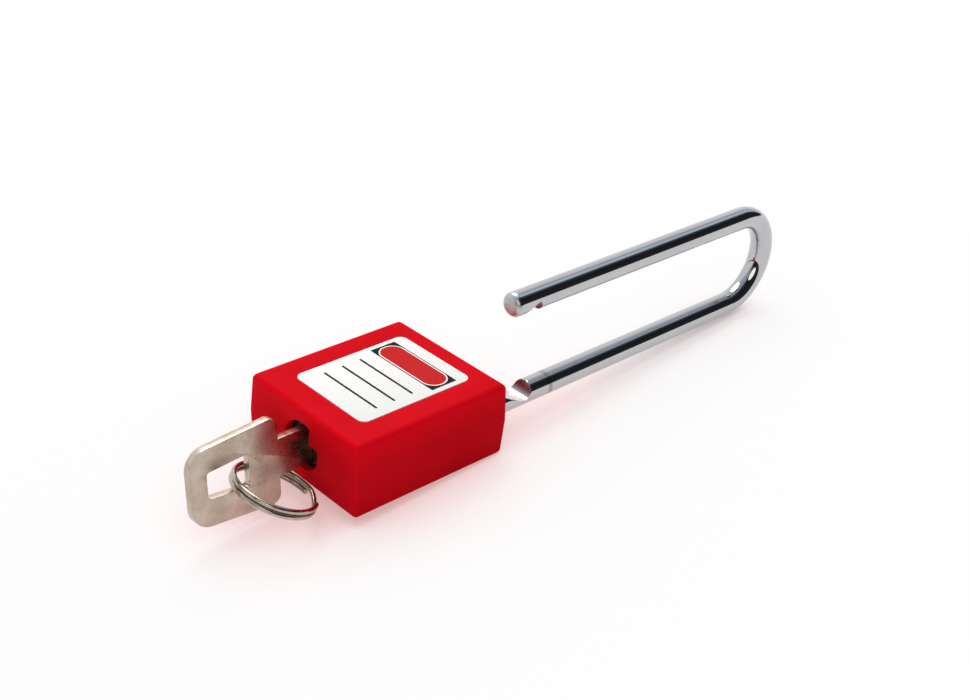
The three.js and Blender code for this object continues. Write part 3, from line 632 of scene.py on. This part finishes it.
ink("label_band", band_outline(0, 0, 0.15), 1, BLACK_INK)
ink("label_band_edge", band_outline(0.6, 0.3, 3.3), 2, WHITE_FILM)
ink("label_band_bar", band_outline(0.95, 0.65, 2.95), 3, RED_INK)
for row, level in enumerate(LINE_LEVELS):
    line = rounded_rectangle(-LINE_HALF, LINE_HALF, level - LINE_WEIGHT, level + LINE_WEIGHT, 0.2)
    ink(f"label_line_{row + 1}", line, 1, BLACK_INK)


# Shackle rod, drawn closed and then lifted and swung into place
NOTCH_LIP = 0.004
RAMP_CURVE = 1.3
HEEL_RUNOUT = 0.3
TOE_RUNOUT = 0.1
DOME_CURVE = 0.8
DOME_TIP = 0.04
ROD_SMOOTH_ANGLE = 35.0


def notch_limit(below, hollow, length):
    """Height of the rod's inner side at a level under the shoulder: a scooped wall, then a ramp out."""
    if below < 0 or below > length:
        return LEG_RADIUS
    if below < hollow:
        return LEG_RADIUS - NOTCH_FLOOR * math.sqrt(1 - (1 - below / hollow) ** 2)
    share = (below - hollow) / (length - hollow)
    return LEG_RADIUS - NOTCH_FLOOR * (1 - share**RAMP_CURVE)


def notch_levels(hollow, length, steps=18):
    """Levels under a shoulder, close together on the scooped wall."""
    wall = [hollow * (1 - math.cos(0.5 * math.pi * i / steps)) for i in range(1, steps + 1)]
    return [NOTCH_LIP, *wall, *np.linspace(hollow, length, steps + 2)[1:]]


def shackle_rings(sides=96, leg_steps=12, bend_steps=64, dome_steps=16):
    ball = FACE_Y - BALL_DEPTH
    groove = ball - LIFT
    head = groove - GROOVE_HALF - HEAD_LENGTH
    spigot_chamfer, chamfer, edge, step = 0.2, 0.35, 0.15, 0.5
    bend_y = FACE_Y + INNER_HEIGHT - (HEEL_X - LEG_RADIUS)
    profile = [
        (SPIGOT_END, SPIGOT_RADIUS - spigot_chamfer),
        (SPIGOT_END + spigot_chamfer, SPIGOT_RADIUS),
        (head, SPIGOT_RADIUS),
        (head, LEG_RADIUS - chamfer),
        (head + chamfer, LEG_RADIUS),
        (groove - GROOVE_HALF, LEG_RADIUS),
        (groove - GROOVE_HALF + chamfer, GROOVE_RADIUS),
        (groove + GROOVE_HALF - chamfer, GROOVE_RADIUS),
        (groove + GROOVE_HALF + chamfer, LEG_RADIUS),
    ]
    rings = []

    def ring(x, y, angle, radius, limit=None):
        points = []
        for i in range(sides):
            turn = 2 * math.pi * (i + 0.5) / sides
            out, z = radius * math.cos(turn), radius * math.sin(turn)
            if limit is not None:
                out = max(out, -limit)
            points.append((x + out * math.cos(angle), y + out * math.sin(angle), z))
        rings.append(points)

    for y, radius in profile:
        ring(0, y, 0, radius)
    shoulder = ball + HEEL_SHOULDER
    for below in [HEEL_NOTCH + HEEL_RUNOUT, *reversed(notch_levels(HEEL_HOLLOW, HEEL_NOTCH))]:
        limit = notch_limit(below, HEEL_HOLLOW, HEEL_NOTCH)
        ring(0, shoulder - below, 0, LEG_RADIUS, limit)
    ring(0, shoulder, 0, LEG_RADIUS, LEG_RADIUS - edge)
    ring(0, shoulder + edge, 0, LEG_RADIUS)
    for y in np.linspace(shoulder + step, bend_y, leg_steps)[:-1]:
        ring(0, y, 0, LEG_RADIUS)
    for i in range(bend_steps + 1):
        angle = math.pi * i / bend_steps
        ring(HEEL_X * (math.cos(angle) - 1), bend_y + HEEL_X * math.sin(angle), angle, LEG_RADIUS)
    shoulder = ball + TOE_SHOULDER
    for y in np.linspace(bend_y, shoulder + step, leg_steps)[1:]:
        ring(-LEG_SPACING, y, math.pi, LEG_RADIUS)
    ring(-LEG_SPACING, shoulder + edge, math.pi, LEG_RADIUS)
    ring(-LEG_SPACING, shoulder, math.pi, LEG_RADIUS, LEG_RADIUS - edge)
    for below in [*notch_levels(TOE_HOLLOW, TOE_NOTCH), TOE_NOTCH + TOE_RUNOUT]:
        limit = notch_limit(below, TOE_HOLLOW, TOE_NOTCH)
        ring(-LEG_SPACING, shoulder - below, math.pi, LEG_RADIUS, limit)
    tip = FACE_Y - TOE_DEPTH
    for i in range(dome_steps + 1):
        angle = 0.5 * math.pi * i / dome_steps
        inward = max(math.cos(angle), DOME_TIP) ** DOME_CURVE
        rise = TOE_DOME * (1 - math.sin(angle) ** DOME_CURVE)
        ring(-LEG_SPACING, tip + rise, math.pi, LEG_RADIUS * inward)
    return rings


rod = lofted("shackle_rod", shackle_rings(), CHROME, ROD_SMOOTH_ANGLE)
lifted = Matrix.Translation(Vector((HEEL_X, LIFT, MID_Z)) * MM)
rod.data.transform(lifted @ Matrix.Rotation(math.pi / 2, 4, "Y"))
shade(rod, ROD_SMOOTH_ANGLE)
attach(rod, "shackle")
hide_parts("shackle")


# Key: an outline of [y, height, corner radius] about the plug's axis, turned a few degrees with the plug
def rounded_polygon(corners, steps=10):
    points = []
    for i, (y, z, radius) in enumerate(corners):
        here = Vector((y, z))
        if radius == 0:
            points.append((y, z))
            continue
        back = (Vector(corners[i - 1][:2]) - here).normalized()
        ahead = (Vector(corners[(i + 1) % len(corners)][:2]) - here).normalized()
        half = math.acos(back.dot(ahead)) / 2
        centre = here + (back + ahead).normalized() * radius / math.sin(half)
        first = here + back * radius / math.tan(half) - centre
        last = here + ahead * radius / math.tan(half) - centre
        start = math.atan2(first.y, first.x)
        sweep = (math.atan2(last.y, last.x) - start + math.pi) % (2 * math.pi) - math.pi
        points += arc(centre.x, centre.y, radius, start, start + sweep, steps)
    return points


def key_outline():
    half, head = NECK_WIDTH / 2, KEY_HEAD_WIDTH / 2
    narrow = head - KEY_HEAD_TAPER
    start = NECK_START - NECK_LENGTH
    end = start - KEY_HEAD_LENGTH
    corners = [
        (NECK_START, half, 0),
        (start, half, 0),
        (start, head - KEY_HEAD_DROP, KEY_HEAD_INNER_CORNER),
        (end, narrow - KEY_HEAD_DROP, KEY_HEAD_CORNER),
        (end, -narrow - KEY_HEAD_DROP, KEY_HEAD_CORNER),
        (start, -head - KEY_HEAD_DROP, KEY_HEAD_INNER_CORNER),
        (start, -half, 0),
        (NECK_START, -half, 0),
        (NECK_START, BLADE_BOTTOM, 0),
        (BLADE_END - BLADE_TIP, BLADE_BOTTOM, 0),
        (BLADE_END, BLADE_BOTTOM + BLADE_TIP, 0),
    ]
    for i in reversed(range(PIN_COUNT)):
        level = FIRST_CUT - i * CUT_DROP - PIN_ON_KEY_GAP
        y = PIN_FIRST + i * PIN_PITCH
        corners += [(y + CUT_HALF, level, 0), (y - CUT_HALF, level, 0)]
    slope_start = PIN_FIRST - CUT_HALF - (BLADE_TOP - FIRST_CUT)
    corners += [(slope_start, BLADE_TOP, 0), (NECK_START, BLADE_TOP, 0)]
    return rounded_polygon(corners)


def key_hole_outline():
    start = NECK_START - NECK_LENGTH - KEY_HOLE_SETBACK
    end = start - KEY_HOLE_LENGTH
    wide = KEY_HOLE_WIDTH / 2
    narrow = wide - KEY_HEAD_TAPER * KEY_HOLE_LENGTH / KEY_HEAD_LENGTH
    corners = ((start, -wide), (start, wide), (end, narrow), (end, -narrow))
    return rounded_polygon([(y, z, KEY_HOLE_CORNER) for y, z in corners])


TURN = Matrix.Translation(Vector((0, 0, MID_Z)) * MM) @ Matrix.Rotation(math.radians(-KEY_TURN), 4, "Y")
key_half = KEY_THICKNESS / 2
key = prism("key_plate", key_outline(), -key_half, key_half, "x", NICKEL)
carve(key, "DIFFERENCE", prism("tool", key_hole_outline(), -key_half - PAST, key_half + PAST, "x"))
for side in (-1, 1):
    low, high = sorted((side * (key_half - WARD_DEPTH), side * (key_half + PAST)))
    bottom, top = WARD_LEVEL - WARD_WIDTH / 2, WARD_LEVEL + WARD_WIDTH / 2
    groove = [(NECK_START, bottom), (0.0, bottom), (0.0, top), (NECK_START, top)]
    carve(key, "DIFFERENCE", prism("tool", groove, low, high, "x"))
bevel(key, 0.16)
key.data.transform(TURN)
shade(key)
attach(key, "key")
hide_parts("key")


# Split ring
RING_RADIUS = (RING_OUTER - RING_WIRE) / 2
RING_SMOOTH_ANGLE = 40.0


def ring_rings(steps=120, sides=20):
    free = RING_JOG / 2
    start, end = free + RING_END_GAP, 720 - free - RING_END_GAP
    rings = []
    for degrees in np.linspace(start, end, int((end - start) / 360 * steps) + 1):
        share = min(max((degrees - 360 + free) / RING_JOG, 0.0), 1.0)
        height = RING_PITCH * (share * share * (3 - 2 * share) - 0.5)
        angle = math.radians(degrees)
        points = []
        for i in range(sides):
            turn = 2 * math.pi * (i + 0.5) / sides
            out = RING_RADIUS + RING_WIRE / 2 * math.cos(turn)
            over = RING_WIRE / 2 * math.sin(turn)
            points.append((out * math.cos(angle), out * math.sin(angle), height + over))
        rings.append(points)
    return rings


def ring_place():
    rise = math.radians(RING_CHORD_RISE)
    gap = Vector((0, NECK_START - NECK_LENGTH + RING_GAP_AHEAD, RING_GAP_LEVEL))
    way = Vector((0, math.cos(rise), -math.sin(rise)))
    outward = Matrix.Rotation(math.radians(RING_DROOP), 4, way) @ Vector((1, 0, 0))
    half = RING_CHORD_SHARE * RING_RADIUS
    centre = gap - way * half + outward * math.sqrt(RING_RADIUS**2 - half**2)
    turn = Matrix((outward, way, outward.cross(way))).transposed().to_4x4()
    split = Matrix.Rotation(math.radians(RING_SPLIT), 4, "Z")
    return TURN @ Matrix.Translation(centre * MM) @ turn @ split


ring = lofted("split_ring", ring_rings(), RING, RING_SMOOTH_ANGLE)
ring.data.transform(ring_place())
bevel(ring, 0.08, 60.0, 2)
shade(ring, RING_SMOOTH_ANGLE)
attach(ring, "key_ring")
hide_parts("key_ring")


# Floor, world and lamps
FLOOR_TILT = 3.9
FLOOR_HALF = 3000.0
FLOOR_DEPTH = 20.0


def make_floor():
    """A pale slab with a painted shadow: where the part stands over it, its glow is darkened by ambient
    occlusion and tinted pinkish near the body, greyish further out.
    """
    corners = ((-1, -1), (1, -1), (1, 1), (-1, 1))
    rings = [[(x * FLOOR_HALF, y * FLOOR_HALF, z) for x, y in corners] for z in (-FLOOR_DEPTH, 0.0)]
    floor = lofted("floor", rings, None)
    hinge = Vector((0, FACE_Y, 0)) * MM
    tilt = Matrix.Rotation(math.radians(FLOOR_TILT), 4, "X")
    floor.data.transform(Matrix.Translation(hinge) @ tilt @ Matrix.Translation(-hinge))
    m = Nodes("floor_paper")
    diffuse = m.add("BsdfDiffuse")
    diffuse.inputs["Color"].default_value = (0.97, 0.9, 0.9, 1)
    glow = m.add("Emission")
    glow.inputs["Strength"].default_value = 1.0
    blend = m.add("MixShader")
    path = m.add("LightPath")
    seen = m.math("MAXIMUM", path.outputs["Is Camera Ray"], path.outputs["Is Glossy Ray"])
    seen = m.math("MAXIMUM", seen, path.outputs["Is Transmission Ray"])
    reach = m.add("VectorMath")
    reach.operation = "LENGTH"
    m.link(m.place((1.0, 0.55, 0.0)), reach.inputs[0])
    share = m.remap(reach.outputs["Value"], 0.05, 0.14, 0.9, 1.0)
    # Painted shadow: the glow darkens with ambient occlusion, pinkish near the body and greyish further
    # out
    open_sky = m.add("AmbientOcclusion")
    open_sky.samples = 8
    open_sky.inputs["Distance"].default_value = 0.034
    close = m.remap(open_sky.outputs["AO"], 0.25, 0.62, 0.0, 1.0)
    away = m.remap(open_sky.outputs["AO"], 0.45, 0.92, 0.0, 1.0)
    beside = m.remap(reach.outputs["Value"], 0.03, 0.045, 0.0, 1.0)
    painted_pink_shadow = m.mix(close, (0.68, 0.42, 0.41), (0.97, 0.7, 0.69))
    painted_grey_shadow = m.mix(close, (0.5, 0.45, 0.46), (0.86, 0.78, 0.79))
    m.link(m.mix(away, m.mix(beside, painted_pink_shadow, painted_grey_shadow), (1.0, 1.0, 1.0)), glow.inputs["Color"])
    m.link(m.product(seen, share), blend.inputs["Fac"])
    m.link(diffuse.outputs[0], blend.inputs[1])
    m.link(glow.outputs[0], blend.inputs[2])
    m.link(blend.outputs[0], m.tree.nodes["Material Output"].inputs["Surface"])
    floor.data.materials.append(m.material)


def make_world():
    """A pale studio that is darker on the camera's side, banded about the shackle's direction."""
    world = bpy.data.worlds.new("studio")
    bpy.context.scene.world = world
    world.use_nodes = True
    tree = world.node_tree
    tree.nodes.clear()
    add = tree.nodes.new
    link = tree.links.new
    coords = add("ShaderNodeTexCoord")
    split = add("ShaderNodeSeparateXYZ")
    link(coords.outputs["Generated"], split.inputs[0])
    angle = add("ShaderNodeMath")
    angle.operation = "ARCTAN2"
    link(split.outputs["Z"], angle.inputs[0])
    link(split.outputs["X"], angle.inputs[1])
    share = add("ShaderNodeMapRange")
    share.inputs["From Min"].default_value = 0.0
    share.inputs["From Max"].default_value = math.pi
    link(angle.outputs[0], share.inputs["Value"])
    ramp = add("ShaderNodeValToRGB")
    stops = [
        (0, 0.05, 0.04, 0.045),
        (8, 0.03, 0.026, 0.03),
        (50, 0.016, 0.019, 0.022),
        (66, 0.03, 0.042, 0.05),
        (76, 0.2, 0.24, 0.28),
        (84, 0.72, 0.8, 0.9),
        (96, 0.72, 0.8, 0.9),
        (106, 0.4, 0.46, 0.56),
        (118, 0.7, 0.75, 0.88),
        (134, 1.0, 0.99, 1.0),
        (180, 1.0, 0.99, 1.0),
    ]
    elements = ramp.color_ramp.elements
    elements[0].position, elements[1].position = 0.0, 1.0
    for degrees, *_ in stops[1:-1]:
        elements.new(degrees / 180)
    for element, (_, *colour) in zip(elements, stops):
        element.color = (*colour, 1)
    link(share.outputs["Result"], ramp.inputs["Fac"])
    path = add("ShaderNodeLightPath")
    backdrop = add("ShaderNodeMix")
    backdrop.data_type = "RGBA"
    link(path.outputs["Is Camera Ray"], backdrop.inputs["Factor"])
    link(ramp.outputs["Color"], backdrop.inputs[6])
    backdrop.inputs[7].default_value = (1, 1, 1, 1)
    shown = add("ShaderNodeBackground")
    link(backdrop.outputs[2], shown.inputs["Color"])
    even = add("ShaderNodeMix")
    even.data_type = "RGBA"
    even.inputs["Factor"].default_value = 0.35
    link(ramp.outputs["Color"], even.inputs[6])
    even.inputs[7].default_value = (0.5, 0.5, 0.5, 1)
    soft = add("ShaderNodeBackground")
    link(even.outputs[2], soft.inputs["Color"])
    soft.inputs["Strength"].default_value = 0.78
    seen = path.outputs["Is Camera Ray"]
    for ray in ("Is Glossy Ray", "Is Transmission Ray"):
        either = add("ShaderNodeMath")
        either.operation = "MAXIMUM"
        link(seen, either.inputs[0])
        link(path.outputs[ray], either.inputs[1])
        seen = either.outputs[0]
    final = add("ShaderNodeMixShader")
    link(seen, final.inputs["Fac"])
    link(soft.outputs[0], final.inputs[1])
    link(shown.outputs[0], final.inputs[2])
    output = add("ShaderNodeOutputWorld")
    link(final.outputs[0], output.inputs["Surface"])


def lamp(name, at, size, power, colour=(1, 1, 1)):
    data = bpy.data.lights.new(name, "AREA")
    data.shape = "DISK"
    data.size = size
    data.energy = power
    data.color = colour
    obj = bpy.data.objects.new(name, data)
    obj.location = at
    obj.rotation_euler = (-Vector(at)).to_track_quat("-Z", "Y").to_euler()
    bpy.context.collection.objects.link(obj)


make_floor()
make_world()
lamp("key_light", (-0.5, 0.3, 0.9), 0.7, 8.2, (1.0, 0.965, 0.9))
lamp("fill_light", (0.7, -0.7, 0.6), 0.8, 2.6)

bpy.context.scene.view_settings.view_transform = "Standard"
